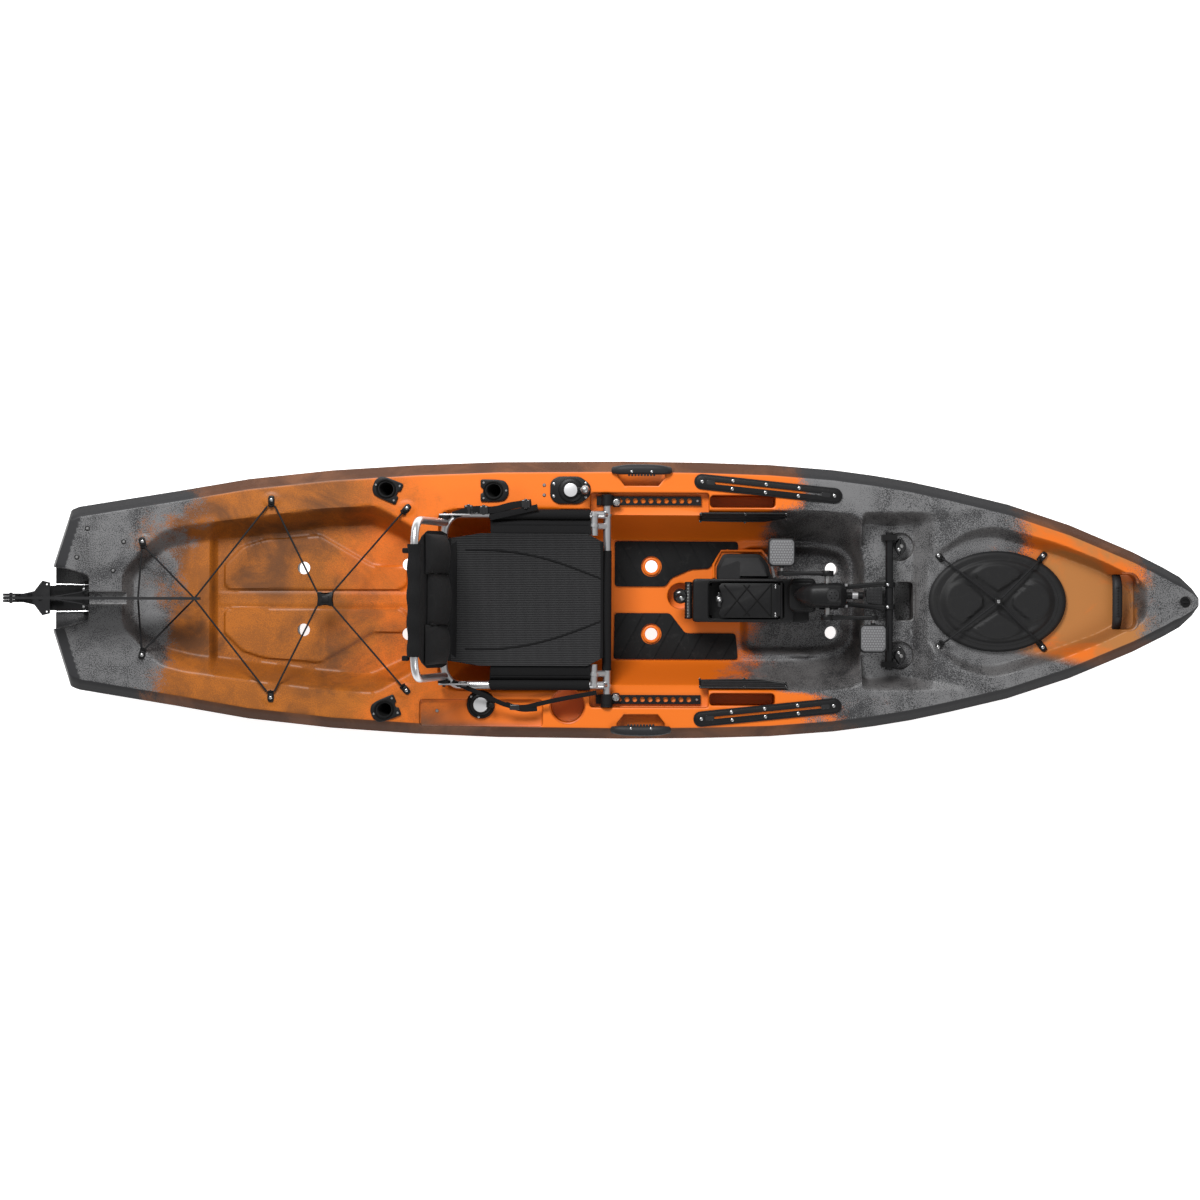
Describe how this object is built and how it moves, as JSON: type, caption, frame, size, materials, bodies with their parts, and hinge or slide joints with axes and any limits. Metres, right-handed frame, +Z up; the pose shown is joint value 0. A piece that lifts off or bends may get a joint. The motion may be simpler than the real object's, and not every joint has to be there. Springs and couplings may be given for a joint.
{
  "type": "fishing kayak",
  "caption": "Sit-on-top fishing kayak with tilting pedal drive, sliding frame seat, flip-up rudder, bow hatch and rear tank well.",
  "frame": {"origin": "on the flat keel strip, under the middle of the seat, midway across the hull", "axes": "+X to the bow, +Y to port, +Z up"},
  "size_m": [3.801, 0.891, 1.1166],
  "materials": {
    "hull": "rotomoulded, orange and grey marble",
    "foam": "closed-cell foam, matt",
    "fitting": "moulded black plastic",
    "panel": "textured dark grey plastic",
    "steel": "stainless",
    "tube": "satin anodised",
    "black_tube": "black powder coat",
    "mesh": "open mesh weave",
    "webbing": "woven webbing",
    "cord": "braided shock cord",
    "seal": "soft gasket",
    "collar": "smooth moulded rim",
    "knob": "silver cap"
  },
  "bodies": {
    "hull_body": {"hull": "hull", "scupper_collars": "collar", "foam_pad_port": "foam", "foam_pad_starboard": "foam", "rod_holder_aft_port": "fitting", "rod_holder_mid_port": "fitting", "rod_holder_aft_starboard": "fitting", "track_port": "panel", "track_starboard": "panel", "deck_screws": "steel", "grip_port": "panel", "grip_starboard": "panel", "bow_handle": "panel", "seat_rail_port": "fitting", "seat_rail_starboard": "fitting", "pocket_net_port": "webbing", "pocket_net_starboard": "webbing", "pad_eyes": "fitting", "tank_bungee_aft": "cord", "tank_bungee_front": "cord", "bungee_clip": "fitting", "hatch_bungee": "cord", "hatch_seal": "seal", "cross_bar": "black_tube", "bar_saddles": "fitting", "steering_base": "fitting", "lift_dial_base": "fitting", "rudder_bracket": "fitting", "steering_cables": "steel", "lift_cords": "cord"},
    "seat": {"seat_frame": "tube", "seat_sling": "mesh", "seat_feet": "fitting", "seat_knobs": "knob"},
    "backrest": {"back_frame": "tube", "back_sling": "mesh", "lumbar_pad": "mesh", "back_hubs": "fitting"},
    "steering_lever": {"steering_arm": "panel", "steering_knob": "knob"},
    "rudder_yoke": {"rudder_head": "fitting"},
    "rudder_foil": {"rudder_blade": "fitting"},
    "lift_lever": {"lift_dial": "panel"},
    "drive": {"drive_console": "fitting", "console_handle": "fitting", "drive_leg": "panel", "drive_head": "fitting", "head_cap": "panel", "docking_fork": "fitting"},
    "crank": {"crank_shaft": "steel", "crank_arms": "fitting"},
    "port_pedal": {"pedal_port": "panel"},
    "starboard_pedal": {"pedal_starboard": "panel"},
    "screw_propeller": {"propeller": "panel"},
    "lid": {"console_lid": "panel"},
    "latch": {"console_latch": "steel"},
    "hatch": {"hatch_lid": "panel"},
    "plug": {"drain_plug": "fitting"},
    "port_clamp": {"clamp_knob_port": "fitting"},
    "starboard_clamp": {"clamp_knob_starboard": "fitting"}
  },
  "joints": [
    {"name": "seat_slide", "type": "slide", "parent": "hull_body", "child": "seat", "axis": [1, 0, 0], "range_m": [0, 0.124]},
    {"name": "backrest_fold", "type": "hinge", "parent": "seat", "child": "backrest", "pos_m": [-0.4965, 0, 0.3855], "axis": [0, 1, 0], "range_deg": [-8, 60]},
    {"name": "steering_turn", "type": "hinge", "parent": "hull_body", "child": "steering_lever", "pos_m": [-0.095, 0.35162, 0.34], "axis": [0, 0, 1], "range_deg": [-60, 60]},
    {"name": "rudder_yaw", "type": "hinge", "parent": "hull_body", "child": "rudder_yoke", "pos_m": [-1.79832, 0, 0.29], "axis": [0, 0, 1], "range_deg": [-35, 35], "deforming": ["steering_cables", "lift_cords"]},
    {"name": "rudder_lift", "type": "hinge", "parent": "rudder_yoke", "child": "rudder_foil", "pos_m": [-1.87232, 0, 0.419], "axis": [0, 1, 0], "range_deg": [-238, 0]},
    {"name": "lift_turn", "type": "hinge", "parent": "hull_body", "child": "lift_lever", "pos_m": [-0.381, -0.33697, 0.33], "axis": [0, 0, 1], "range_deg": [0, 160]},
    {"name": "drive_tilt", "type": "hinge", "parent": "hull_body", "child": "drive", "pos_m": [0.93, 0, 0.29], "axis": [0, 1, 0], "range_deg": [0, 68]},
    {"name": "crank_turn", "type": "hinge", "parent": "drive", "child": "crank", "pos_m": [0.724, 0.017, 0.4], "axis": [0, 1, 0], "continuous": true},
    {"name": "port_pedal_spin", "type": "hinge", "parent": "crank", "child": "port_pedal", "pos_m": [0.578, 0.154, 0.4], "axis": [0, 1, 0], "continuous": true},
    {"name": "starboard_pedal_spin", "type": "hinge", "parent": "crank", "child": "starboard_pedal", "pos_m": [0.87, -0.12, 0.4], "axis": [0, 1, 0], "continuous": true},
    {"name": "propeller_turn", "type": "hinge", "parent": "drive", "child": "screw_propeller", "pos_m": [0.612, 0.017, -0.22], "axis": [1, 0, 0], "continuous": true},
    {"name": "lid_open", "type": "hinge", "parent": "drive", "child": "lid", "pos_m": [0.586, 0, 0.262], "axis": [0, 1, 0], "range_deg": [0, 80]},
    {"name": "latch_turn", "type": "hinge", "parent": "lid", "child": "latch", "pos_m": [0.384, 0.004, 0.268], "axis": [0, 0, 1], "range_deg": [0, 90]},
    {"name": "hatch_lift", "type": "slide", "parent": "hull_body", "child": "hatch", "axis": [0, 0, 1], "range_m": [0, 0.15], "deforming": ["hatch_bungee"]},
    {"name": "plug_turn", "type": "hinge", "parent": "hull_body", "child": "plug", "pos_m": [1.86168, 0, 0.33], "axis": [0, 0, 1], "range_deg": [0, 180]},
    {"name": "port_clamp_turn", "type": "hinge", "parent": "hull_body", "child": "port_clamp", "pos_m": [0.966, 0.175, 0.29], "axis": [0, 0, 1], "range_deg": [0, 90]},
    {"name": "starboard_clamp_turn", "type": "hinge", "parent": "hull_body", "child": "starboard_clamp", "pos_m": [0.966, -0.175, 0.29], "axis": [0, 0, 1], "range_deg": [-90, 0]}
  ],
  "couplings": [
    {"joint": "rudder_yaw", "follows": "steering_turn", "ratio": 0.58},
    {"joint": "lift_turn", "follows": "rudder_lift", "ratio": -0.6},
    {"joint": "propeller_turn", "follows": "crank_turn", "ratio": 10}
  ]
}
